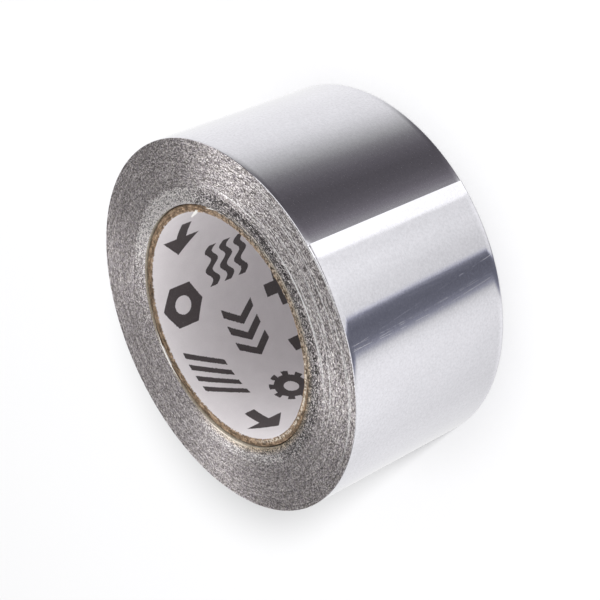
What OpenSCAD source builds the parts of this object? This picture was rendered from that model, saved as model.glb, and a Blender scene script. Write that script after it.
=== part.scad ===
// Roll of aluminium foil tape on a cardboard core, standing on one end face.
// Z is the axis of the roll, and the origin is the middle of the end it stands on.
// The turns are drawn as real ones lie: each half turn is a half circle, and the
// second half has its centre shifted by half a tape thickness, so the radius grows
// by one thickness a turn and drops by one thickness where the tape ends.

/* [Tape] */
// Width of the tape, which is the height of the standing roll
tape_width = 63; // [38:1:100]
// Thickness of one turn, with its foil, adhesive and backing paper
tape_thickness = 0.144; // [0.08:0.004:0.24]
// Number of turns wound on the core
turn_count = 150; // [80:1:220]
// Direction of the free end, in degrees round from +X
free_end_angle = -90; // [-180:5:180]

/* [Core] */
// Bore of the finished core, inside its lining
core_bore = 77; // [70:0.5:80]
// Wall of the cardboard tube
core_wall = 2.4; // [1.5:0.1:5]
// Thickness of the printed paper that lines the tube
lining_thickness = 0.4; // [0.1:0.05:0.8]
// Distance from each end of the core to the end face of the tape
core_recess = 1.25; // [0.2:0.05:3]
// Bevel on the two outer edges of the cardboard tube
core_bevel = 0.3; // [0.1:0.05:0.8]
// Glue between two layers that are wound on each other
glue_line = 0.03; // [0.02:0.01:0.1]

/* [Edges of the turns] */
// Turns in one band that wandered together while the roll was wound
band_turns = 15; // [8:1:24]
// Furthest that a band stands back from the end face
band_set_back = 0.2; // [0.05:0.05:0.5]
// Depth to which the first turns sink beside the core
dish_depth = 0.55; // [0.1:0.05:1]
// Width of the dished turns round the core
dish_width = 4.5; // [2:0.5:8]
// Turns on the outside that ran off sideways
last_turns = 2; // [1:1:4]
// Distance that those last turns stand back from the upper end face
last_set_back = 0.3; // [0.1:0.05:0.8]

/* [Hidden] */
$fn = 180;
lining_r = core_bore / 2;
tube_bore_r = lining_r + lining_thickness + glue_line;
tube_outer_r = tube_bore_r + core_wall;
winding_bore_r = tube_outer_r + glue_line;
core_length = tape_width - 2 * core_recess;
half_shift = tape_thickness / 2;
even_turns = turn_count - last_turns;
band_count = floor(even_turns / band_turns);
// Share of a band by which its border moves to and fro, so that no two bands are alike
border_sway = 0.3;
// Smallest set back, as a share of the furthest
least_share = 0.4;
// Steps in degrees that keep the borders and the set backs from repeating
border_step = 83;
set_back_step = 53;
// Turn angle that makes the lower end face differ from the upper one
lower_phase = 37;

// Turn at which a band begins
function band_start(k) =
    k == 0 ? 0 :
    k >= band_count ? even_turns :
    k * band_turns + round(border_sway * band_turns * sin(k * border_step));

// Radius at which a turn begins
function turn_r(turn) = winding_bore_r + turn * tape_thickness;

// Depth of the dish beside the core
function dish(r) =
    dish_depth * pow(max(0, 1 - (r - winding_bore_r) / dish_width), 2);

// Every other band is flush with the end face, and those between them stand back
function set_back(k, phase) =
    k % 2 == 1 ? 0 :
    band_set_back * (least_share + (1 - least_share) * abs(sin(k * set_back_step + phase)));

// Distance from the end face to the band's edge at its inner and outer border
function band_edge(k, phase) = [
    for (turn = [band_start(k), band_start(k + 1)])
        [turn_r(turn), set_back(k, phase) + dish(turn_r(turn))]
];

// Edges of all the turns on one end face, as radius and depth
function end_face(phase, last_depth) = [
    for (k = [0:band_count - 1]) each band_edge(k, phase),
    [turn_r(even_turns), last_depth],
    [turn_r(turn_count), last_depth]
];

// Drops each point that repeats the one before it
function distinct(points) = [
    for (i = [0:len(points) - 1])
        if (i == 0 || norm(points[i] - points[i - 1]) > 0.001) points[i]
];

function reversed(points) = [for (i = [len(points) - 1:-1:0]) points[i]];

// Section through the winding on one side of the axis
winding_section = concat(
    [for (p = distinct(end_face(0, last_set_back))) [p[0], tape_width - p[1]]],
    reversed(distinct(end_face(lower_phase, 0)))
);

// One half of every turn
module half_winding(shift) {
    rotate_extrude(angle = 180)
        translate([shift, 0])
            polygon(winding_section);
}

module tape_winding() {
    color([0.82, 0.82, 0.84])
        rotate([0, 0, free_end_angle]) {
            half_winding(0);
            translate([half_shift, 0, 0])
                rotate([0, 0, 180])
                    half_winding(half_shift);
        }
}

// Cardboard tube, cut square with its outer edges broken
module cardboard_core() {
    color([0.62, 0.5, 0.36])
        translate([0, 0, core_recess])
            rotate_extrude()
                polygon([
                    [tube_bore_r, 0],
                    [tube_outer_r - core_bevel, 0],
                    [tube_outer_r, core_bevel],
                    [tube_outer_r, core_length - core_bevel],
                    [tube_outer_r - core_bevel, core_length],
                    [tube_bore_r, core_length]
                ]);
}

// Paper lining, as long as the tube that it is glued in
module core_lining() {
    color([0.9, 0.89, 0.91])
        translate([0, 0, core_recess])
            rotate_extrude()
                translate([lining_r, 0])
                    square([lining_thickness, core_length]);
}

tape_winding();
cardboard_core();
core_lining();
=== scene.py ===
import math
import bpy
import numpy as np
from mathutils import Matrix, Vector


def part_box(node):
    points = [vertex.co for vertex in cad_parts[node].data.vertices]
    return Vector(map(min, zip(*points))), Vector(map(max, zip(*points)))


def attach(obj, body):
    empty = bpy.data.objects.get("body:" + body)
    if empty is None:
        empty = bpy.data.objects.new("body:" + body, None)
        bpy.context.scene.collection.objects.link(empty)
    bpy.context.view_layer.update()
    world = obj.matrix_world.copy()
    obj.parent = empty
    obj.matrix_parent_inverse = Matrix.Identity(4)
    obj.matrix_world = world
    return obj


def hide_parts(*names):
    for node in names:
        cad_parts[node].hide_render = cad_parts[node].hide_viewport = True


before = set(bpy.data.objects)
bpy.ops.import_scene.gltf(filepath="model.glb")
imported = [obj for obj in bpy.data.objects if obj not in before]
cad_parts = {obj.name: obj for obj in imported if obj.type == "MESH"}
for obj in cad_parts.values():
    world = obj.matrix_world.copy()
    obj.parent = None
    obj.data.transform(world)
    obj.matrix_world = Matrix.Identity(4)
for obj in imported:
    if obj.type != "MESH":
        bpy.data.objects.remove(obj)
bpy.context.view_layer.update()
print("frame loaded:", ", ".join(sorted(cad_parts)))

mm = 0.001
fullTurn = 2 * math.pi
scene = bpy.context.scene
windingLow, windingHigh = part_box("tape_winding")
coreLow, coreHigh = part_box("cardboard_core")
liningLow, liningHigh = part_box("core_lining")
chance = np.random.default_rng(7)


class Wire:
    # one socket of a shader, on which sums become Math nodes
    def __init__(self, tree, socket=None):
        self.tree = tree
        self.socket = socket

    # any node: its type, its settings, and the values or links of its sockets
    def node(self, kind, settings=None, sockets=None, output=0):
        made = self.tree.nodes.new("ShaderNode" + kind)
        for name, value in (settings or {}).items():
            if name == "stops":
                layStops(made.color_ramp, value)
            else:
                setattr(made, name, value)
        for name, value in (sockets or {}).items():
            into = pickSocket(made.inputs, name)
            if isinstance(value, Wire):
                self.tree.links.new(value.socket, into)
            else:
                into.default_value = (*value, 1) if into.type == "RGBA" else value
        if isinstance(output, tuple):
            return [Wire(self.tree, pickSocket(made.outputs, each)) for each in output]
        return Wire(self.tree, pickSocket(made.outputs, output) if made.outputs else None)

    def math(self, operation, *others):
        return self.node("Math", {"operation": operation}, dict(enumerate((self, *others))))

    def __add__(self, other):
        return self.math("ADD", other)

    def __sub__(self, other):
        return self.math("SUBTRACT", other)

    def __rsub__(self, other):
        return self.node("Math", {"operation": "SUBTRACT"}, {0: other, 1: self})

    def __mul__(self, other):
        return self.math("MULTIPLY", other)

    def __truediv__(self, other):
        return self.math("DIVIDE", other)

    def __gt__(self, other):
        return self.math("GREATER_THAN", other)

    def __lt__(self, other):
        return self.math("LESS_THAN", other)

    def __abs__(self):
        return self.math("ABSOLUTE")

    __radd__ = __add__
    __rmul__ = __mul__


def pickSocket(sockets, name):
    if isinstance(name, int):
        return sockets[name]
    return next(s for s in sockets if s.enabled and s.name == name)


def layStops(ramp, stops):
    while len(ramp.elements) < len(stops):
        ramp.elements.new(1)
    for element, (place, shade) in zip(ramp.elements, stops):
        element.position = place
        element.color = (*shade, 1) if isinstance(shade, tuple) else (shade, shade, shade, 1)


def newMaterial(name):
    material = bpy.data.materials.new(name)
    material.use_nodes = True
    material.node_tree.nodes.clear()
    return material, Wire(material.node_tree)


def closeMaterial(start, sockets):
    shader = start.node("BsdfPrincipled", None, sockets)
    start.node("OutputMaterial", None, {"Surface": shader})


# direction round the axis as a point of the unit circle, with radius and height in millimetres
def aroundAxis(start):
    place = start.node("TexCoord", None, None, "Object")
    x, y, z = start.node("SeparateXYZ", None, {"Vector": place}, ("X", "Y", "Z"))
    radius = (x * x + y * y).math("SQRT")
    return x / radius, y / radius, radius / mm, z / mm


def point(x, y, z):
    return x.node("CombineXYZ", None, {"X": x, "Y": y, "Z": z})


# noise on the direction round the axis and on radius or height; its look is how many waves
# it has to the radian and to the millimetre, its detail and its roughness
def noise(dx, dy, other, look):
    around, across, detail, roughness = look
    place = point(dx * around, dy * around, other * across)
    sockets = {"Vector": place, "Scale": 1.0, "Detail": detail, "Roughness": roughness}
    return place.node("TexNoise", None, sockets)


# value between two ends, as its input goes from low to high
def spread(value, low, high, first=0.0, last=1.0):
    return value.node("MapRange", None, {0: value, 1: low, 2: high, 3: first, 4: last})


def mixColour(share, first, second):
    sockets = {"Factor": share, "A": first, "B": second}
    return share.node("Mix", {"data_type": "RGBA"}, sockets, "Result")


def bump(height, strength, distance, normal=None):
    sockets = {"Height": height, "Strength": strength, "Distance": distance}
    if normal is not None:
        sockets["Normal"] = normal
    return height.node("Bump", None, sockets)


def dimmed(colour, amount):
    return amount.node("VectorMath", {"operation": "SCALE"}, {"Vector": colour, "Scale": amount})


# 1 in the middle of a line, 0 from half its breadth on
def ridge(offset, half):
    return spread(abs(offset), 0.0, half, 1.0, 0.0)


# degrees past the free end, clockwise seen from above, from -180 to 180
def pastFreeEnd(dx, dy):
    return (dx * -1.0).math("ARCTAN2", dy * -1.0) * (360 / fullTurn)


# 1 where a point lies in a direction, given in degrees past the free end, and -1 opposite
def facing(dx, dy, degrees):
    aim = freeEnd - math.radians(degrees)
    return dx * math.cos(aim) + dy * math.sin(aim)


# value that changes towards a direction: the direction in degrees past the free end,
# how far a point faces it where the change starts and ends, and the value at both
def aimed(dx, dy, look):
    degrees, low, high, first, last = look
    return spread(facing(dx, dy, degrees), low, high, first, last)


# a loop of points, laid on the section as radius and height, and spun round the axis
def spunPiece(name, section, columns):
    bpy.ops.object.select_all(action="DESELECT")
    bpy.ops.mesh.primitive_circle_add(vertices=len(section), radius=section[0][0])
    piece = bpy.context.object
    piece.name = name
    piece.data.name = name
    rows = piece.data.attributes.new("row", "INT", "POINT")
    for k, (radius, height) in enumerate(section):
        piece.data.vertices[k].co = (radius, 0, height)
        rows.data[k].value = k
    bpy.ops.object.mode_set(mode="EDIT")
    bpy.ops.mesh.select_all(action="SELECT")
    bpy.ops.mesh.spin(steps=columns, angle=fullTurn, center=(0, 0, 0), axis=(0, 0, 1))
    bpy.ops.mesh.select_all(action="SELECT")
    bpy.ops.mesh.remove_doubles(threshold=0.001 * mm)
    bpy.ops.mesh.normals_make_consistent(inside=False)
    bpy.ops.object.mode_set(mode="OBJECT")
    return piece


# row and column of each point of a spun piece, columns counted from the free end towards +X
def gridOf(piece, columns):
    mesh = piece.data
    spots = np.empty(len(mesh.vertices) * 3)
    mesh.vertices.foreach_get("co", spots)
    spots = spots.reshape(-1, 3)
    row = np.empty(len(spots), np.int32)
    mesh.attributes["row"].data.foreach_get("value", row)
    mesh.attributes.remove(mesh.attributes["row"])
    angle = np.arctan2(spots[:, 1], spots[:, 0]) - freeEnd
    column = np.rint(angle / (fullTurn / columns)).astype(int) % columns
    return row, column


def placePoints(piece, radius, angle, height):
    around = angle + freeEnd
    spots = np.stack([radius * np.cos(around), radius * np.sin(around), height], 1)
    piece.data.vertices.foreach_set("co", spots.ravel())
    piece.data.update()


def smooth(piece, degrees):
    bpy.ops.object.select_all(action="DESELECT")
    piece.select_set(True)
    bpy.context.view_layer.objects.active = piece
    bpy.ops.object.shade_smooth_by_angle(angle=math.radians(degrees))


freeEnd = -math.pi / 2  # direction of the free end of the tape

tape = {
    "columns": 360,  # steps round the roll
    "thickness": 0.144 * mm,
    "glueLine": 0.03 * mm,
    "straightEnd": 4.4 * mm,  # length of the free end that has sprung up
    "room": 0.01 * mm,  # kept between the free end and the frame's box
    "endWall": 0.0009,  # angle that the cut end of the tape takes up
    "rim": 0.08 * mm,  # rounding of the slit edges
    "footRim": 0.25 * mm,
    "corner": 0.7 * mm,  # rounding of the free end's two corners
    "runOff": 0.6 * mm,  # sideways run of the last turn near its end
    "runOffLeast": 0.03 * mm,
    "runOffSpan": math.radians(14),
    "dishDepth": 0.55 * mm,
    "dishWidth": 4.5 * mm,
    "bandTurns": 15,
    "bandSetBack": 0.12 * mm,
    "borderSway": 0.3,
    "borderBeat": 1.45,  # radians to a band, of the wave that sways the borders
    "leastShare": 0.4,
    "shareBeat": 0.92,  # radians to a band, of the wave that sets the bands back
    "phases": (0.0, 0.65),  # of that wave, on the upper and the lower end face
    "lowest": 0.05 * mm,  # how far a usual turn stays below a proud one
    "turnJitter": 0.012 * mm,  # how unevenly one turn lies beside the next
    "wander": 0.015 * mm,  # slow waves along the turns
    "waves": ((1, 1.0), (2, 0.7), (3, 0.5), (5, 0.35)),  # how many to a round, and their share
    "drift": (0.02, 0.09),  # radians by which they move on from turn to turn
    "evenTurns": 4,  # outermost turns, which lie even
    "proudTurns": 26,
    # turn, half its breadth in turns, middle in degrees past the free end, half its length
    "firstProud": (46.5, 1.6, 12, 32),
    "rimProud": (2.5, 3.0, 8, 24),  # its turn is counted from the outside
    "proudShare": 0.45,  # how bare the edges of the others are
    "proudMargins": (40, 6),  # how many of the innermost and the outermost turns have none
    "proudMiddle": 0.3,  # radians past the free end, about which they lie scattered
    "proudScatter": 0.5,
    "proudHalf": (0.1, 0.45),  # half their length in radians
    "edgeRows": (0.1 * mm, 0.25 * mm, 0.45 * mm, 0.7 * mm),  # rows close to each rim
    "sideRows": 7,
    "wallRows": (0.02, 0.35, 0.65, 0.98),
    "wallInset": 1.6,  # least distance of the bore's rows from its ends, in depths of the dish
    "cutSlopes": (0.25, -0.45),  # upward slope from which a face is cut edge, above and below
}


# radii of the roll, from the frame's box and the tape's own sizes
def tapeRadii():
    reach = -windingLow.y - tape["room"]
    lift = tape["straightEnd"] / reach
    outerEnd = reach * math.cos(lift)
    outer = outerEnd - tape["thickness"]
    bore = coreHigh.x + tape["glueLine"]
    turns = round((outer - bore) / tape["thickness"])
    return bore, outer, turns, lift


# how far each turn of the tape stands back from the end face, in bands that were wound together
def bandDepths(turns, phase):
    count = turns // tape["bandTurns"]
    sway = tape["borderSway"] * tape["bandTurns"]
    depths = np.zeros(turns + 2)
    start = 0
    for k in range(count):
        border = round((k + 1) * tape["bandTurns"] + sway * math.sin((k + 1) * tape["borderBeat"]))
        stop = turns + 2 if k == count - 1 else border
        swell = abs(math.sin(k * tape["shareBeat"] + phase))
        share = tape["leastShare"] + (1 - tape["leastShare"]) * swell
        depths[start:stop] = 0 if k % 2 else tape["bandSetBack"] * share
        start = stop
    return depths


# stretches of turns that stand out of an end face: share, turn, half breadth in turns,
# and middle and half length in radians past the free end
def proudStretches(turns):
    turn, breadth, middle, half = tape["firstProud"]
    stretches = [(1, turn, breadth, math.radians(middle), math.radians(half))]
    turn, breadth, middle, half = tape["rimProud"]
    stretches.append((1, turns - turn, breadth, math.radians(middle), math.radians(half)))
    innermost, outermost = tape["proudMargins"]
    for _ in range(tape["proudTurns"]):
        turn = chance.integers(innermost, turns - outermost)
        breadth = chance.integers(0, 2)
        middle = tape["proudMiddle"] + chance.normal(0, tape["proudScatter"])
        half = chance.uniform(*tape["proudHalf"])
        stretches.append((tape["proudShare"], turn, breadth, middle, half))
    return stretches


# the share along the middle of a stretch and 0 past its ends
def alongStretch(whole, angle, stretch):
    share, turn, breadth, middle, half = stretch
    away = np.abs((-angle - middle + math.pi) % fullTurn - math.pi)
    return share * (np.abs(whole - turn) <= breadth) * np.clip(1.3 * (1 - away / half), 0, 1)


# depth of every point of an end face below the plane of the rim, and where its edge is bare foil
def faceDepth(turn, angle, radius, bore, turns, phase):
    through = angle / fullTurn
    whole = np.clip(np.rint(turn).astype(int), 0, turns)
    bands = bandDepths(turns, phase)
    jitter = chance.normal(0, tape["turnJitter"], turns + 2)
    each = tape["lowest"] + bands + jitter
    depth = each[whole] * (1 - through) + each[whole + 1] * through
    for beat, size in tape["waves"]:
        drift = chance.uniform(*tape["drift"])
        depth += tape["wander"] * size * np.sin(beat * angle + drift * (whole + through) * beat)
    depth = np.maximum(depth, 0.3 * tape["lowest"])
    depth *= np.clip((turns - whole) / tape["evenTurns"], 0, 1)
    bare = np.zeros(len(turn))
    for stretch in proudStretches(turns):
        bare = np.maximum(bare, alongStretch(whole, angle, stretch))
    dish = np.clip(1 - (radius - bore) / tape["dishWidth"], 0, 1) ** 2
    return depth * (1 - bare) + tape["dishDepth"] * dish, bare


# quarter round of an edge as points of the section, from its inner end outwards
def roundedEdge(radius, height, size, side):
    steps = (90, 45, 0) if side > 0 else (0, -30, -60, -90)
    middle = (radius - size, height - side * size)
    points = []
    for step in steps:
        turned = math.radians(step)
        points.append((middle[0] + size * math.cos(turned), middle[1] + size * math.sin(turned)))
    return points


def buildWinding():
    bore, outer, turns, lift = tapeRadii()
    pitch = (outer - bore) / turns
    rim = tape["rim"]
    width = windingHigh.z
    columns = tape["columns"]
    before = outer - pitch  # outside of the turn below the last one

    top = [(bore + k * pitch, width) for k in range(turns - 1)]
    beneath = roundedEdge(before, width, rim, 1)
    lastEdge = [(before, width)] + roundedEdge(outer, width, rim, 1)
    gap = tape["edgeRows"][-1]
    inside = [gap + (width - 2 * gap) * k / tape["sideRows"] for k in range(1, tape["sideRows"])]
    side = [(outer, width - each) for each in tape["edgeRows"]]
    side += [(outer, each) for each in inside[::-1]]
    side += [(outer, each) for each in tape["edgeRows"][:1:-1]]
    foot = roundedEdge(outer, 0, tape["footRim"], -1)
    under = [(bore + k * pitch, 0) for k in range(turns - 4, -1, -2)]
    wall = [(bore, width * share) for share in tape["wallRows"]]
    parts = (top, beneath, lastEdge, side, foot, under, wall)
    section = [each for part in parts for each in part]
    piece = spunPiece("tape_roll", section, columns)
    row, column = gridOf(piece, columns)

    shape = np.array(section)
    radius, height = shape[row, 0], shape[row, 1]
    angle = column * fullTurn / columns
    last = column == columns - 1
    angle[last] = fullTurn - tape["endWall"]
    past = fullTurn - angle  # angle from the free end along the last turn

    zone = np.repeat(np.arange(len(parts)), [len(part) for part in parts])[row]
    isTop, _, isLastEdge, isSide, isFoot, isUnder, isWall = (zone == k for k in range(len(parts)))
    turn = (radius - bore) / pitch

    phaseUp, phaseDown = tape["phases"]
    up, bareUp = faceDepth(turn, angle, radius, bore, turns, phaseUp)
    down, bareDown = faceDepth(turn, angle, radius, bore, turns, phaseDown)
    runOff = tape["runOffLeast"] + tape["runOff"] * np.exp(-((past / tape["runOffSpan"]) ** 2))
    height = np.where(isTop, height - up, height)
    height = np.where(isUnder, height + down, height)
    height = np.where(isLastEdge | isSide, height * (1 - runOff / width), height)
    wallEnd = tape["dishDepth"] * tape["wallInset"]
    height = np.where(isWall, np.clip(height, wallEnd, width - wallEnd), height)

    # the turns grow by one thickness a round, all of it on the half round before the free end
    growth = np.where(angle > math.pi, 0.5 * (1 + np.cos(angle)), 0) * tape["thickness"]
    radius = radius + growth
    outside = (isLastEdge & (row > len(top) + len(beneath))) | isSide | isFoot
    sprung = outside & (past < lift)
    radius = np.where(sprung, radius / np.cos(lift - np.minimum(past, lift)), radius)

    # both corners of the free end are rounded off
    corner = tape["corner"]
    endTop = width - tape["runOff"]
    closeAbove = np.clip((height - endTop + corner) / corner, 0, 1)
    close = np.maximum(closeAbove, np.clip(1 - height / corner, 0, 1))
    cut = corner * (1 - np.sqrt(1 - close**2)) / outer
    angle = np.where(outside & (last | (column == 0)), angle - cut, angle)

    placePoints(piece, radius, angle, height)
    bare = piece.data.attributes.new("bare", "FLOAT", "POINT")
    bare.data.foreach_set("value", (bareUp * isTop + bareDown * isUnder).astype(np.float32))
    return piece, (bore, outer)


# foil on the outside, cut edges on the end faces, backing paper in the bore
def dressWinding(piece, radii, foil, edges, backing):
    bore, outer = radii
    for material in (foil, edges, backing):
        piece.data.materials.append(material)
    upper, lower = tape["cutSlopes"]
    for face in piece.data.polygons:
        radius = math.hypot(face.center.x, face.center.y)
        if face.normal.z > upper or face.normal.z < lower and radius < outer - 0.1 * mm:
            face.material_index = 1
        elif radius < bore + 0.3 * mm:
            face.material_index = 2


foilLook = {
    "colour": (0.885, 0.878, 0.927),
    "roughness": 0.06,
    "lines": (34, 2.2, 2, 0.6),  # along the tape
    "fineLines": (20, 6.6, 2, 0.6),
    "scratches": (100, 0.06, 3, 0.6),  # across it
    "clouds": (5, 0.06, 3, 0.5),
    "specks": (80, 1.3, 3, 0.7),
    "breaks": (12, 0.25, 2, 0.5),  # of the creases
    "tones": ((0.96, 1.0), (0.97, 1.0), (0.89, 1.04)),  # from lines, clouds and specks
    "curl": 2.2,  # breadth of the curled strip along each rim, in millimetres
    "slitEdge": 0.38,  # breadth of the bright turned edge of the tape, in millimetres
    "slitSlope": 0.8,
    "slitShare": (60, 0.0, 0.44, 0.25, 1.0),  # how much of it there is, by direction
    # creases near the free end: degrees past it, slant in degrees to the millimetre, bend
    "creases": ((29.8, -0.115, 0.0), (29.3, 0.02, -0.0011), (30.4, 0.045, -0.0013), (31.0, -0.06, 0.0)),
    "crease": 0.1,  # half the breadth of a crease, in millimetres
}


def foilMaterial():
    material, start = newMaterial("tape_foil")
    dx, dy, radius, height = aroundAxis(start)
    depth = windingHigh.z / mm - height
    lines = noise(dx, dy, height, foilLook["lines"])
    fineLines = noise(dx, dy, height, foilLook["fineLines"])
    scratches = noise(dx, dy, height, foilLook["scratches"])
    clouds = noise(dx, dy, height, foilLook["clouds"])
    specks = noise(dx, dy, height, foilLook["specks"])
    lined, clouded, specked = foilLook["tones"]
    tone = spread(lines, 0.3, 0.7, *lined) * spread(clouds, 0.3, 0.7, *clouded)
    tone = tone * spread(specks, 0.3, 0.7, *specked)
    roughness = spread(scratches, 0.35, 0.7, foilLook["roughness"], foilLook["roughness"] * 1.5)

    past = pastFreeEnd(dx, dy)
    broken = spread(noise(dx, dy, height, foilLook["breaks"]), 0.4, 0.6)
    lift = None
    for place, slant, bend in foilLook["creases"]:
        route = depth * slant + depth * depth * bend + place
        line = ridge((past - route) * radius * (fullTurn / 360), foilLook["crease"]) * broken
        lift = line if lift is None else lift + line
    early = (past / math.degrees(tape["runOffSpan"])).math("POWER", 2.0) * -1.0
    setBack = early.math("EXPONENT") * (past > 0) * (tape["runOff"] / mm) + tape["runOffLeast"] / mm
    ownDepth = depth - setBack * (radius > windingRadii[1] / mm - 0.07)
    steep = foilLook["slitEdge"] * foilLook["slitSlope"]
    turned = spread(ownDepth, 0.0, foilLook["slitEdge"], steep, 0.0)
    turned = turned * aimed(dx, dy, foilLook["slitShare"])
    strip = foilLook["curl"]
    upperCurl = spread(depth, 0.0, strip, 1.0, 0.0).math("POWER", 2.0)
    lowerCurl = spread(height, 0.0, strip, 1.0, 0.0).math("POWER", 2.0)
    normal = bump(lowerCurl - upperCurl, 1.0, 0.1 * mm)
    normal = bump(turned * -1.0, 1.0, 1.0 * mm, normal)
    normal = bump(fineLines * 0.5 + lines * 0.5, 0.15, 0.03 * mm, normal)
    normal = bump(scratches, 0.04, 0.02 * mm, normal)
    normal = bump(lift, 1.0, 0.006 * mm, normal)
    closeMaterial(start, {
        "Base Color": mixColour(tone, (0, 0, 0), foilLook["colour"]),
        "Metallic": 1.0,
        "Roughness": roughness,
        "Anisotropic": 0.8,
        "Anisotropic Rotation": 0.25,
        "Normal": normal,
    })
    return material


edgeLook = {
    "shades": ((0.0, 0.05), (0.35, 0.22), (0.6, 0.46), (0.8, 0.78), (1.0, 1.0)),
    "tints": ((1.0, 0.91, 0.865), (0.985, 0.88, 0.95)),
    "brightTint": (1.0, 0.965, 0.955),
    "warm": (1.0, 0.83, 0.64),  # tint of the innermost turns on the free end's side
    "lean": 0.085,  # slope by which the slit edges lean outwards
    "dishLean": 0.95,  # how much more the turns lean in the dish, in millimetres
    "dishEnd": (4.6, 6.1),  # where the dish's painted light and shade end, in millimetres from the core
    # painted light and shade added to the dish by direction: on its near side, right, left and lower
    # left
    "dishPaintedLight": (
        (10, -0.1, 1.0, 0.0, -0.36),
        (276, 0.7, 1.0, 0.0, 0.4),
        (125, 0.8, 1.0, 0.0, 0.14),
        (327, 0.88, 1.0, 0.0, -0.22),
    ),
    "farFaceShade": (222, 0.6, 1.0, 0.0, -0.035),  # painted shade, added on the far side
    "innerPaintedLight": (270, 0.6, 0.9, 0.0, 0.22),  # painted light, added along the innermost turns on the right
    "innerEdgeHighlight": (0.86, 0.80, 0.71),  # pale edges close to the core, brightened into painted highlights
    "nearEdge": (0, 0.75, 0.97, 0.0, 1.0),  # how much of them there is, on both sides
    "farEdge": (137, 0.955, 0.985, 0.0, 1.0),
    "bareEdge": (0.95, 0.95, 0.95),  # edges of the proud turns
    "bareLean": (0.74, 0.67),  # outward and upward share of their normal
    "middle": 0.515,  # level about which the grain varies
    "contrast": (1.15, 1.5),  # of the grain, on the far side and on the free end's side, where it is raised as painted light and shade from grazing light
    "dishContrast": 1.05,  # how much more it is in the dish, but for its far side: painted glints on dark shade
    "grainsRound": 112,  # grains to the radian along the turns
    "grainsAcross": 3.2,  # grains to the millimetre across them
    "grain": (145.6, 4.48, 1, 0.5),
    "streaks": (16, 4.2, 2, 0.6),
    "arcs": (2, 1.9, 3, 0.6),
    "hue": (40, 1.3, 2, 0.6),
    "roughness": 0.45,
}


def edgeMaterial():
    material, start = newMaterial("tape_edges")
    dx, dy, radius, _ = aroundAxis(start)
    along, across = edgeLook["grainsRound"], edgeLook["grainsAcross"]
    grid = point(dx * along, dy * along, radius * across)
    cells = start.node("TexVoronoi", None, {"Vector": grid, "Scale": 1.0}, "Color")
    speck, other = start.node("SeparateColor", None, {"Color": cells}, ("Red", "Green"))
    grain = noise(dx, dy, radius, edgeLook["grain"])
    streaks = noise(dx, dy, radius, edgeLook["streaks"])
    arcs = noise(dx, dy, radius, edgeLook["arcs"])
    # the free end's side, where the grain's contrast is raised as painted light and shade from grazing
    # light
    near = spread(dy, -0.2, -1.0)
    level = (speck - 0.5) * 0.5 + spread(grain, 0.25, 0.75, -0.17, 0.17)
    level = level + spread(streaks, 0.3, 0.7, -0.12, 0.12) * (near * 1.1 + 0.4)
    bore = windingRadii[0] / mm
    dish = spread(radius, bore, bore + tape["dishWidth"] / mm * 1.4, 1.0, 0.0).math("POWER", 2.0)
    dishEnds, faceStarts = edgeLook["dishEnd"]
    inDish = spread(radius, bore + dishEnds, bore + faceStarts, 1.0, 0.0)
    more = inDish * spread(dy, 0.95, 0.3, 0.0, edgeLook["dishContrast"])
    contrast = spread(near, 0.0, 1.0, *edgeLook["contrast"]) * (more + 1.0)
    level = level * contrast + edgeLook["middle"] + spread(arcs, 0.3, 0.7, -0.1, 0.1)
    # painted light and shade in the dish, by direction
    light = None
    for look in edgeLook["dishPaintedLight"]:
        added = aimed(dx, dy, look)
        light = added if light is None else light + added
    # painted light along the innermost turns on the right
    innerPaintedLight = ridge(radius - (bore + 0.5), 0.6) * aimed(dx, dy, edgeLook["innerPaintedLight"])
    # the painted light and shade join the grain's level here
    level = level + light * inDish + innerPaintedLight + aimed(dx, dy, edgeLook["farFaceShade"])
    grey = start.node("ValToRGB", {"stops": edgeLook["shades"]}, {"Fac": level}, "Color")
    hue = noise(dx, dy, radius, edgeLook["hue"])
    warmth = spread(radius, bore + 0.4, bore + 2.4, 1.0, 0.0) * spread(dx + dy * 0.4, 0.2, -0.5)
    tint = mixColour(spread(hue, 0.35, 0.65), *edgeLook["tints"])
    tint = mixColour(spread(level, 0.5, 0.95), tint, edgeLook["brightTint"])
    tint = mixColour(warmth, tint, edgeLook["warm"])
    shade = start.node("VectorMath", {"operation": "MULTIPLY"}, {0: grey, 1: tint})
    bare = start.node("Attribute", {"attribute_name": "bare"}, None, "Fac")
    # painted highlights: pale lines on the innermost turns, on the near side and on the far side
    line = ridge(radius - (bore + 1.05), 0.42) * aimed(dx, dy, edgeLook["nearEdge"])
    line = line * spread(streaks, 0.35, 0.5)
    line = line + ridge(radius - (bore + 0.3), 0.45) * aimed(dx, dy, edgeLook["farEdge"])
    shade = mixColour(line, shade, edgeLook["innerEdgeHighlight"])
    colour = mixColour(bare, shade, edgeLook["bareEdge"])
    leaning = bump(radius * -edgeLook["lean"] - dish * edgeLook["dishLean"], 1.0, 1.0 * mm)
    rough = bump(grain, 0.8, 0.12 * mm, bump(streaks, 0.5, 0.06 * mm, leaning))
    outward, upward = edgeLook["bareLean"]
    leant = point(dx * outward, dy * outward, upward)
    sockets = {"Factor": bare, "A": rough, "B": leant}
    normal = bare.node("Mix", {"data_type": "VECTOR"}, sockets, "Result")
    closeMaterial(start, {
        "Base Color": colour,
        "Metallic": 0.8,
        "Roughness": spread(other, 0.0, 1.0, edgeLook["roughness"], edgeLook["roughness"] * 1.15),
        "Anisotropic": 0.95,
        "Anisotropic Rotation": 0.25,
        "Normal": normal,
    })
    return material


# painted shade: the backing paper in the bore of the winding is darker than white paper; both tones,
# shadow and worn, are mixed by fibre noise
backingLook = {
    "shadow": (0.26, 0.22, 0.17),
    "worn": (0.5, 0.45, 0.37),
    "fibre": (60, 2, 3, 0.6),
}


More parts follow.
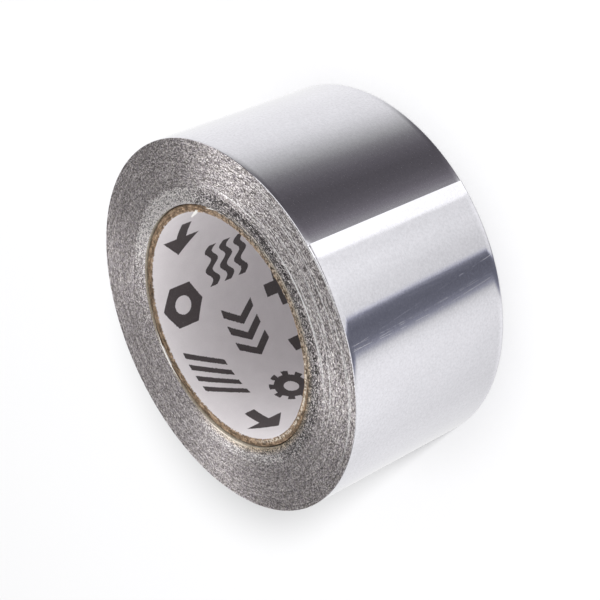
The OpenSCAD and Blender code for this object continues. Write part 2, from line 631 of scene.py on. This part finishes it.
def backingMaterial():
    material, start = newMaterial("backing_paper")
    dx, dy, _, height = aroundAxis(start)
    fibre = noise(dx, dy, height, backingLook["fibre"])
    closeMaterial(start, {
        "Base Color": mixColour(spread(fibre, 0.3, 0.7), backingLook["shadow"], backingLook["worn"]),
        "Roughness": spread(fibre, 0.3, 0.7, 0.5, 0.7),
        "Normal": bump(fibre, 0.3, 0.03 * mm),
    })
    return material


windingPiece, windingRadii = buildWinding()
dressWinding(windingPiece, windingRadii, foilMaterial(), edgeMaterial(), backingMaterial())
smooth(windingPiece, 50)
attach(windingPiece, "root")
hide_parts("tape_winding")
print("tape roll made:", len(windingPiece.data.polygons), "faces")


tube = {
    "columns": 360,
    "plies": 5,
    "groove": 0.45 * mm,  # breadth of the groove beside the winding, painted dark as shade
    "grooveDepth": 1.2 * mm,
    "fuzz": 0.09 * mm,  # roughness of the sawn ends
    "plyGap": 0.1 * mm,
    "sliver": 189.5,  # middle of a sliver of white paper in the seam, in degrees past the free end
    "sliverHalf": 15.0,
    "sliverRise": 0.45 * mm,
    "sliverPaper": (0.95, 0.945, 0.93),
}


def buildCore():
    bore = liningHigh.x + tape["glueLine"]
    outer = coreHigh.x
    low, high = coreLow.z, coreHigh.z
    groove = tube["groove"]
    ply = (outer - groove - bore) / tube["plies"]
    rings = []
    for k in range(tube["plies"]):
        gap = tube["plyGap"] if k else 0
        rings += [(bore + ply * (k + share), gap * (share == 0)) for share in (0, 0.25, 0.6, 0.9)]
    rings += [(outer - groove, 0), (outer - 0.35 * groove, 0.35 * tube["grooveDepth"])]
    top = [(radius, high - depth) for radius, depth in rings]
    edge = [(outer, high - tube["grooveDepth"]), (outer, low + tube["grooveDepth"])]
    under = [(radius, low + depth) for radius, depth in reversed(rings)]
    inside = [(bore, low + (high - low) * share) for share in (0.02, 0.5, 0.98)]
    section = top + edge + under + inside
    piece = spunPiece("core_tube", section, tube["columns"])
    row, column = gridOf(piece, tube["columns"])
    shape = np.array(section)
    angle = column * fullTurn / tube["columns"]
    cut = (row < len(top)) | ((row >= len(top) + 2) & (row < len(top) + 2 + len(under)))
    rough = chance.uniform(-1, 0, len(row)) * tube["fuzz"] * cut
    sign = np.where(row < len(top), 1, -1)
    height = shape[row, 1] + sign * rough
    away = np.abs((-angle - math.radians(tube["sliver"]) + math.pi) % fullTurn - math.pi)
    share = np.clip(1.5 * (1 - away / math.radians(tube["sliverHalf"])), 0, 1)
    filled = (share > 0) & (row >= len(top) - 2) & (row <= len(top))
    placePoints(piece, shape[row, 0], angle, np.where(filled, high + share * tube["sliverRise"], height))
    return piece


kraftLook = {
    "shades": (
        (0.2, (0.055, 0.035, 0.021)),
        (0.42, (0.165, 0.108, 0.065)),
        (0.6, (0.30, 0.203, 0.126)),
        (0.85, (0.56, 0.42, 0.30)),
    ),
    "fibre": (95, 4, 4, 0.65),
    "layers": (9, 3.2, 2, 0.6),
    "blotches": (16, 0.8, 3, 0.5),
    "blotchRise": 0.125,  # how much less they change with height than with radius
    "breaks": (30, 2, 2, 0.6),  # of the white plies
    "patch": (50, 1.1, 2, 0.6),
    "far": (198, 0.55, 0.95, 1.0, 0.68),  # painted shade: how much darker the cut end is made on the far side
    "near": (5, 0.5, 0.95, 0.0, 1.0),  # extent of the free end's side
    "pale": (0.225, 0.19, 0.155),  # of the cut end on the free end's side
    "patches": (0.25, 0.62),  # how uneven its light is, everywhere and added on that side
    "plies": (40.2, 41.0),  # radii of two plies whose cut edges are nearly white there
    "plyHalf": 0.16,  # half the breadth of these edges
    "plyEdge": (0.72, 0.66, 0.57),
    "flecks": (75, 0.7, 0.9, 0.0, 1.0),  # how much there is of white flecks beside the bore
    "fleckRadii": (40.0, 39.4),  # between which they fade out
    "shadow": (0.06, 0.04, 0.026),  # of the board beside the seam
    # painted shade: the seam groove, nearly black
    "paintedSeamShade": (0.03, 0.02, 0.013),
}


# brown of torn and sawn board, from noises on direction, radius and height
def kraftColour(dx, dy, radius, height):
    fibre = noise(dx, dy, radius + height, kraftLook["fibre"])
    plies = noise(dx, dy, radius, kraftLook["layers"])
    blotch = noise(dx, dy, radius + height * kraftLook["blotchRise"], kraftLook["blotches"])
    level = spread(fibre, 0.35, 0.65) * 0.4 + spread(plies, 0.35, 0.65) * 0.25
    level = level + spread(blotch, 0.35, 0.65) * 0.35
    colour = level.node("ValToRGB", {"stops": kraftLook["shades"]}, {"Fac": level}, "Color")
    return colour, fibre, plies


def kraftMaterial():
    material, start = newMaterial("kraft_board")
    dx, dy, radius, height = aroundAxis(start)
    colour, fibre, plies = kraftColour(dx, dy, radius, height)
    # painted shade: the board darker towards the seam, and the seam groove nearly black
    paintedSeamShade = spread(radius, (coreHigh.x - 0.9 * tube["groove"]) / mm, coreHigh.x / mm - 0.1)
    shadow = spread(radius, coreHigh.x / mm - 1.3, coreHigh.x / mm - 0.45, 0.0, 0.3)
    # painted shade: the cut end darker on the far side
    colour = dimmed(colour, aimed(dx, dy, kraftLook["far"]))
    near = aimed(dx, dy, kraftLook["near"])
    broken = noise(dx, dy, radius, kraftLook["breaks"])
    patches = noise(dx, dy, radius, kraftLook["patch"])
    colour = mixColour(near * spread(patches, 0.4, 0.6), colour, kraftLook["pale"])
    least, added = kraftLook["patches"]
    colour = dimmed(colour, (near * added + least) * spread(patches, 0.41, 0.59, -1.0, 1.0) + 1.0)
    inner, outer = kraftLook["plies"]
    lines = ridge(radius - inner, kraftLook["plyHalf"]) + ridge(radius - outer, kraftLook["plyHalf"])
    flecks = spread(radius, *kraftLook["fleckRadii"]) * aimed(dx, dy, kraftLook["flecks"])
    flecks = flecks * spread(patches, 0.47, 0.56)
    lines = lines * near * spread(broken, 0.42, 0.58) + flecks
    colour = mixColour(lines, colour, kraftLook["plyEdge"])
    ring = mixColour(paintedSeamShade, mixColour(shadow, colour, kraftLook["shadow"]), kraftLook["paintedSeamShade"])
    away = facing(dx, dy, tube["sliver"]).math("ARCCOSINE") * (360 / fullTurn)
    half = tube["sliverHalf"]
    breadth = spread(away, half * 0.3, half, tube["groove"] / mm * 1.05, 0.0)
    paper = spread(radius - coreHigh.x / mm + breadth, -0.04, 0.04) * (away < half)
    closeMaterial(start, {
        "Base Color": mixColour(paper, ring, tube["sliverPaper"]),
        "Roughness": spread(fibre, 0.3, 0.7, 0.8, 1.0),
        "Normal": bump(fibre, 0.8, 0.14 * mm, bump(plies, 0.5, 0.1 * mm)),
    })
    return material


kraft = kraftMaterial()
corePiece = buildCore()
corePiece.data.materials.append(kraft)
smooth(corePiece, 40)
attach(corePiece, "root")
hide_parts("cardboard_core")
print("core made:", len(corePiece.data.polygons), "faces")


lining = {
    "columns": 360,
    "rows": 20,
    "wall": 0.4 * mm,
    "fray": 0.34 * mm,  # deepest notch in the cut edges
    "unevenness": 0.03 * mm,
}


def buildLining():
    outer = liningHigh.x
    inner = outer - lining["wall"]
    low, high = liningLow.z, liningHigh.z
    rows, columns = lining["rows"], lining["columns"]
    inside = [(inner, low + (high - low) * k / rows) for k in range(rows + 1)]
    outside = [(outer, high), (outer, low)]
    piece = spunPiece("bore_paper", inside + outside, columns)
    row, column = gridOf(piece, columns)
    shape = np.array(inside + outside)
    angle = column * fullTurn / columns
    radius, height = shape[row, 0], shape[row, 1]
    waves = np.sin(3 * angle + height / (9 * mm)) + 0.6 * np.sin(7 * angle - height / (5 * mm))
    radius = radius + lining["unevenness"] * 0.5 * waves * (row <= rows)
    slow = np.convolve(chance.uniform(0, 1, columns), np.ones(7) / 7, "same")
    torn = 0.6 * np.clip(3 * slow - 1, 0, 1) + 0.4 * chance.uniform(0, 1, columns)
    notch = lining["fray"] * torn[column]
    atTop = height > high - 0.01 * mm
    atFoot = height < low + 0.01 * mm
    placePoints(piece, radius, angle, height - notch * atTop + notch * atFoot)
    return piece


printed = {
    "rows": (11.0, 31.5, 52.0),  # depth of the middle of each row below the upper end, in millimetres
    "shift": 0.37,  # how far each row stands on from the one above, in signs
    "repeats": 3,  # times that each row's signs go round the bore
    "signs": (
        ("arrow", "nut", "bars"),
        ("gear", "waves", "chevrons"),
        ("squares", "drop", "cross"),
    ),
    "size": 7.8,  # half the height of a sign
    "ink": (0.062, 0.05, 0.052),
    "paperDark": (0.70, 0.665, 0.68),
    "paperLight": (0.79, 0.755, 0.77),
    "frayed": 0.75,  # depth to which the paper's edge is torn and brown
    "wobble": (90, 2.2, 2, 0.5),  # of the ink's edges
    "fibre": (150, 3.5, 3, 0.6),
    "clouds": (9, 0.2, 2, 0.5),
    "tear": (55, 0.8, 3, 0.6),
}


# bars and gaps of one breadth that fill the size of a sign
def stripes(across, count):
    size = printed["size"]
    pair = size * 2 / (count - 0.5)
    return ((across + size).math("FLOORED_MODULO", pair) < pair / 2) * (abs(across) < size)


def signMask(shape, u, v):
    size = printed["size"]
    far = (u * u + v * v).math("SQRT")
    if shape == "arrow":
        shaft = (abs(v) < size * 0.26) * (u > -size) * (u < 0.1)
        head = (abs(v) < (size - u) * 0.95) * (u > 0)
        return shaft.math("MAXIMUM", head)
    if shape == "nut":
        edge = (abs(v) * 0.866 + abs(u) * 0.5).math("MAXIMUM", abs(u))
        return (edge < size * 0.92) * (far > size * 0.42)
    if shape == "bars":
        return stripes(u - v * 0.6, 4) * (abs(v) < size * 0.85)
    if shape == "gear":
        teeth = (v.math("ARCTAN2", u) * 9).math("COSINE") > 0
        return (far < teeth * (0.22 * size) + 0.78 * size) * (far > size * 0.34)
    if shape == "waves":
        swell = (u * 0.85).math("SINE") * 1.3
        return stripes(v + swell, 3) * (abs(u) < size)
    if shape == "chevrons":
        return stripes(u + abs(v) * 0.7 - size * 0.3, 3) * (abs(v) < size * 0.85)
    if shape == "squares":
        pair = size * 0.66
        first = (u + size).math("FLOORED_MODULO", 2 * pair) < pair
        second = (v + size).math("FLOORED_MODULO", 2 * pair) < pair
        return (1.0 - abs(first - second)) * (abs(u) < size) * (abs(v) < size)
    if shape == "drop":
        low = v - size * 0.32
        ball = (u * u + low * low).math("SQRT") < size * 0.66
        tip = (abs(u) < (v + size) * 0.46) * (v < size * 0.1)
        return ball.math("MAXIMUM", tip)
    upright = (abs(u) < size * 0.3) * (abs(v) < size * 0.9)
    across = (abs(v) < size * 0.3) * (abs(u) < size * 0.9)
    return upright.math("MAXIMUM", across)


def signRow(along, deep, number):
    shapes = printed["signs"][number]
    period = fullTurn * (liningHigh.x - lining["wall"]) / mm / printed["repeats"]
    pitch = period / len(shapes)
    run = (along + pitch * printed["shift"] * number).math("FLOORED_MODULO", period)
    v = deep - printed["rows"][number]
    ink = None
    for k, shape in enumerate(shapes):
        u = run - pitch * (k + 0.5)
        mask = signMask(shape, u, v) * (abs(u) < pitch / 2)
        ink = mask if ink is None else ink + mask
    return ink


def liningMaterial():
    material, start = newMaterial("printed_paper")
    dx, dy, radius, height = aroundAxis(start)
    wobble = noise(dx, dy, height, printed["wobble"])
    along = dy.math("ARCTAN2", dx) * (liningHigh.x / mm - lining["wall"] / mm)
    depth = liningHigh.z / mm - height
    deep = depth + spread(wobble, 0.3, 0.7, -0.1, 0.1)
    along = along + spread(wobble, 0.7, 0.3, -0.1, 0.1)
    ink = signRow(along, deep, 0) + signRow(along, deep, 1) + signRow(along, deep, 2)
    fibre = noise(dx, dy, height, printed["fibre"])
    clouds = noise(dx, dy, height, printed["clouds"])
    shade = spread(fibre, 0.3, 0.7) * 0.6 + spread(clouds, 0.3, 0.7) * 0.4
    paper = mixColour(shade, printed["paperDark"], printed["paperLight"])
    worn = ink * spread(fibre, 0.25, 0.45, 0.9, 1.0)
    tear = noise(dx, dy, height, printed["tear"])
    tearDepth = spread(tear, 0.35, 0.7, 0.15, printed["frayed"])
    torn = spread(depth - tearDepth, 0.12, -0.12)
    board = kraftColour(dx, dy, radius, height)[0]
    closeMaterial(start, {
        "Base Color": mixColour(torn, mixColour(worn, paper, printed["ink"]), board),
        "Roughness": 0.72 - 0.12 * worn,
        "Normal": bump(fibre, 0.25, 0.05 * mm),
    })
    return material


liningPiece = buildLining()
liningPiece.data.materials.append(liningMaterial())
smooth(liningPiece, 40)
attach(liningPiece, "root")
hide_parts("core_lining")
print("lining made:", len(liningPiece.data.polygons), "faces")


fibres = {
    "count": 150,
    "length": (0.5 * mm, 2.2 * mm),
    "thickness": 0.1 * mm,
    "sides": 5,
    "lean": 0.5,  # how far a fibre may turn from the way round the ring
    "rise": 0.3,
    "crumbs": 322.0,  # middle of the white crumbs in the seam, in degrees past the free end
    "crumbCount": 7,
    "onEdge": 0.55,  # share of them that lie beside the bore, the others beside the seam
    "fuzz": (300, 8, 2, 0.6),
    "fluff": ((0.62, 0.6, 0.57), (0.88, 0.87, 0.85)),  # of torn white paper
    "straw": (0.6, 0.5, 0.36),  # mixed into the board's brown
    # flakes of torn white paper: degrees past the free end, radius, turn from the way round,
    # length and breadth
    "flakes": (
        (298.4, 37.95, 0.56, 3.4, 1.3),
        (300.8, 38.6, 1.0, 1.5, 0.5),
        (312.6, 41.0, 0.06, 4.2, 0.75),
        (320.6, 41.25, 0.1, 3.6, 0.6),
    ),
}


# direction in radians, radius, height, turn, rise, size along and across, and whiteness of each fibre
def fibrePlaces():
    bore, outer = liningHigh.x, coreHigh.x
    high = coreHigh.z
    lean, rise = fibres["lean"], fibres["rise"]
    places = []
    for _ in range(fibres["count"]):
        if chance.uniform() < fibres["onEdge"]:
            radius = bore + chance.uniform(0.0, 0.4) * mm
        else:
            radius = outer - chance.uniform(0.4, 0.8) * mm
        spot = (chance.uniform(0, fullTurn), radius, high - 0.04 * mm)
        way = (chance.uniform(-lean, lean), chance.uniform(-0.2, 1) * rise)
        broad = chance.uniform(0.8, 1.8)
        places.append((spot, way, (chance.uniform(*fibres["length"]), broad, broad), 0.0))
    for _ in range(fibres["crumbCount"]):
        around = math.radians(-90 - fibres["crumbs"] + chance.normal(0, 4))
        spot = (around, outer - chance.uniform(-0.1, 0.4) * mm, high + chance.uniform(0, 0.3) * mm)
        way = (chance.uniform(-lean, lean), chance.uniform(-0.2, 1) * rise)
        places.append((spot, way, (chance.uniform(0.4, 1.0) * mm, 3.0, 3.0), 1.0))
    for degrees, radius, turned, length, breadth in fibres["flakes"]:
        spot = (math.radians(-90 - degrees), radius * mm, high + 0.2 * mm)
        across = breadth * mm / fibres["thickness"]
        places.append((spot, (turned, 0.16), (length * mm, across, 1.2), 1.0))
    return places


# one tapered fibre along X, modelled once; its copies lie round the cut end of the core
def buildFibres():
    bpy.ops.object.select_all(action="DESELECT")
    half = fibres["thickness"] / 2
    alongX = (0, math.pi / 2, 0)
    bpy.ops.mesh.primitive_cone_add(
        vertices=fibres["sides"], radius1=half, radius2=half * 0.35, depth=1, rotation=alongX
    )
    first = bpy.context.object
    bpy.ops.object.transform_apply(location=False, rotation=True, scale=False)
    copies = []
    for (around, radius, height), (turned, rise), size, white in fibrePlaces():
        copy = first.copy()
        copy.data = first.data.copy()
        scene.collection.objects.link(copy)
        way = Matrix.Rotation(around + math.pi / 2 + turned, 4, "Z") @ Matrix.Rotation(-rise, 4, "Y")
        spot = Matrix.Translation((radius * math.cos(around), radius * math.sin(around), height))
        copy.data.transform(spot @ way @ Matrix.Diagonal((*size, 1)))
        tone = copy.data.attributes.new("white", "FLOAT", "POINT")
        tone.data.foreach_set("value", [white] * len(copy.data.vertices))
        copies.append(copy)
    bpy.data.objects.remove(first)
    for copy in copies:
        copy.select_set(True)
    bpy.context.view_layer.objects.active = copies[0]
    bpy.ops.object.join()
    piece = bpy.context.object
    piece.name = "core_fibres"
    piece.data.name = "core_fibres"
    return piece


def fibreMaterial():
    material, start = newMaterial("loose_fibres")
    dx, dy, radius, height = aroundAxis(start)
    board = kraftColour(dx, dy, radius, height)[0]
    white = start.node("Attribute", {"attribute_name": "white"}, None, "Fac")
    fuzz = noise(dx, dy, radius, fibres["fuzz"])
    pale = mixColour(spread(fuzz, 0.3, 0.7), *fibres["fluff"])
    brown = mixColour(spread(fuzz, 0.3, 0.7, 0.0, 0.5), board, fibres["straw"])
    closeMaterial(start, {
        "Base Color": mixColour(white, brown, pale),
        "Roughness": spread(fuzz, 0.3, 0.7, 0.75, 0.95),
        "Normal": bump(fuzz, 0.3, 0.02 * mm),
    })
    return material


fibrePiece = buildFibres()
fibrePiece.data.materials.append(fibreMaterial())
smooth(fibrePiece, 60)
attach(fibrePiece, "root")
print("fibres made:", len(fibrePiece.data.polygons), "faces")


floorLook = {"size": 6.0, "colour": (0.652, 0.652, 0.657)}


def buildFloor():
    bpy.ops.object.select_all(action="DESELECT")
    bpy.ops.mesh.primitive_plane_add(size=floorLook["size"], location=(0, 0, -0.02 * mm))
    floor = bpy.context.object
    floor.name = "floor"
    floor.visible_glossy = False
    material, start = newMaterial("floor_paper")
    diffuse = start.node("BsdfDiffuse", None, {"Color": floorLook["colour"]})
    start.node("OutputMaterial", None, {"Surface": diffuse})
    floor.data.materials.append(material)
    return floor


floor = buildFloor()


studio = {
    "ambientLow": 2.95,  # light on matt surfaces, from the horizon and from overhead
    "ambientHigh": 0.68,
    "front": -88.0,  # direction from which the walls are counted, in degrees from +X
    # walls of the studio as the foil shows them: degrees round from the front, brightness
    "walls": (
        (-180, 0.92), (-140, 0.87), (-119, 0.84), (-97, 0.92), (-77, 0.98), (-67, 0.97),
        (-60.5, 0.82), (-56, 0.36), (-53, 0.23), (-49.5, 0.18), (-43, 0.155), (-36.7, 0.19),
        (-35, 0.80), (-24, 0.85), (-19, 0.92), (-11, 0.98), (0, 0.92),
        (1.2, 1.35), (8, 1.35),
        (10.5, 0.36), (15, 0.22), (20, 0.14), (28, 0.10), (36, 0.09), (45, 0.12), (54, 0.20),
        (62.5, 0.41), (71, 0.62), (80, 0.80), (90, 0.885), (120, 0.965), (180, 0.92),
    ),
    "coolSides": (-57, -35),  # the dark card on the left is bluish
    "cool": (0.875, 0.90, 1.115),
    "duskSides": (13, 52),  # the dark card on the right is a little purple
    "dusk": (1.02, 0.955, 1.06),
    "fan": (0.76, 1.2),  # how much closer the walls' edges look, from the horizon down
    "fade": (1.0, 0.83),  # how the walls left of the front fade downwards
    "underfoot": 0.2,
    "upperFront": 1.15,
    "upperBack": 0.33,
    "overhead": 0.55,
}


# colour of the walls below the horizon, by direction round and by height
def wallColour(x, y, z):
    turned = y.math("ARCTAN2", x) * (360 / fullTurn) - studio["front"] + 180
    fromFront = turned.math("FLOORED_MODULO", 360.0) - 180
    fromFront = fromFront * spread(z, -0.4, -0.8, *studio["fan"])
    stops = [(degrees / 360 + 0.5, shade) for degrees, shade in studio["walls"]]
    shade = x.node("ValToRGB", {"stops": stops}, {"Fac": fromFront / 360 + 0.5}, "Color")
    first, last = studio["coolSides"]
    blue = spread(fromFront, first - 2, first + 2) * spread(fromFront, last - 1, last + 1, 1.0, 0.0)
    first, last = studio["duskSides"]
    purple = spread(fromFront, first - 4, first + 4) * spread(fromFront, last - 8, last + 8, 1.0, 0.0)
    tint = mixColour(purple, mixColour(blue, (1, 1, 1), studio["cool"]), studio["dusk"])
    coloured = x.node("VectorMath", {"operation": "MULTIPLY"}, {0: shade, 1: tint})
    left = spread(fromFront, 20, -5)
    fade = 1.0 - left * (1.0 - spread(z, -0.57, -0.67, *studio["fade"]))
    return dimmed(coloured, fade * spread(z, -0.97, -0.92, studio["underfoot"], 1.0))


def buildWorld():
    world = bpy.data.worlds.new("studio")
    scene.world = world
    world.use_nodes = True
    world.node_tree.nodes.clear()
    world.cycles.sampling_method = "NONE"
    start = Wire(world.node_tree)
    way = start.node("TexCoord", None, None, "Generated")
    x, y, z = start.node("SeparateXYZ", None, {"Vector": way}, ("X", "Y", "Z"))
    white = (1, 1, 1)
    upper = mixColour(spread(y, -0.3, 0.3, studio["upperFront"], studio["upperBack"]), (0, 0, 0), white)
    upper = mixColour(spread(z, 0.7, 0.9), upper, (studio["overhead"],) * 3)
    shown = mixColour(spread(z, 0.0, 0.1), wallColour(x, y, z), upper)
    glossy, camera = start.node("LightPath", None, None, ("Is Glossy Ray", "Is Camera Ray"))
    low = spread(z, 0.0, 0.6, 1.0, 0.0).math("POWER", 1.7)
    ambient = mixColour(low, (studio["ambientHigh"],) * 3, (studio["ambientLow"],) * 3)
    light = mixColour(glossy, ambient, shown)
    light = mixColour(camera, light, white)
    back = start.node("Background", None, {"Color": light, "Strength": 1.0})
    start.node("OutputWorld", None, {"Surface": back})


buildWorld()


# direction in degrees from +X, elevation, distance and size in metres, watts
lamps = {
    "rightBox": {"from": 5, "up": 40, "distance": 0.9, "size": 0.55, "power": 3.0},
    "leftBox": {"from": 160, "up": 55, "distance": 0.9, "size": 0.55, "power": 1.85},
    "floorBox": {"from": -91.4, "up": 28.5, "distance": 5.0, "size": 0.76, "power": 276},
    "floorTop": {"from": -54, "up": 86, "distance": 2.0, "size": 0.9, "power": 10},
}


# the floor has two lamps of its own, which give it its shadow, and the others light only the roll
def buildLamps():
    pieces = (windingPiece, corePiece, liningPiece, fibrePiece)
    for name, look in lamps.items():
        lamp = bpy.data.lights.new(name, "AREA")
        lamp.shape = "DISK"
        lamp.size = look["size"]
        lamp.energy = look["power"]
        stand = bpy.data.objects.new(name, lamp)
        scene.collection.objects.link(stand)
        around, up = math.radians(look["from"]), math.radians(look["up"])
        way = Vector((math.cos(around) * math.cos(up), math.sin(around) * math.cos(up), math.sin(up)))
        stand.location = way * look["distance"]
        stand.rotation_euler = (-way).to_track_quat("-Z", "Y").to_euler()
        lit = bpy.data.collections.new("lit_by_" + name)
        for each in (floor,) if name.startswith("floor") else pieces:
            lit.objects.link(each)
        stand.light_linking.receiver_collection = lit


buildLamps()


view = {
    "target": (-1.92 * mm, 0.01 * mm, 31.0 * mm),
    "distance": 530.06 * mm,
    "azimuth": -10.65,
    "elevation": 34.337,
    "roll": 114.036,
    "lens": 96.73,
}


def buildCamera():
    azimuth, elevation = math.radians(view["azimuth"]), math.radians(view["elevation"])
    level = math.cos(elevation)
    back = Vector((math.sin(azimuth) * level, -math.cos(azimuth) * level, math.sin(elevation)))
    camera = bpy.data.cameras.new("camera")
    camera.lens = view["lens"]
    camera.sensor_width = 36
    stand = bpy.data.objects.new("camera", camera)
    scene.collection.objects.link(stand)
    turn = (-back).to_track_quat("-Z", "Y").to_matrix().to_4x4()
    roll = Matrix.Rotation(-math.radians(view["roll"]), 4, "Z")
    spot = Vector(view["target"]) + back * view["distance"]
    stand.matrix_world = Matrix.Translation(spot) @ turn @ roll
    camera.clip_start = 0.01
    camera.clip_end = 20
    scene.camera = stand


buildCamera()
scene.view_settings.view_transform = "Standard"
print("studio and camera made")
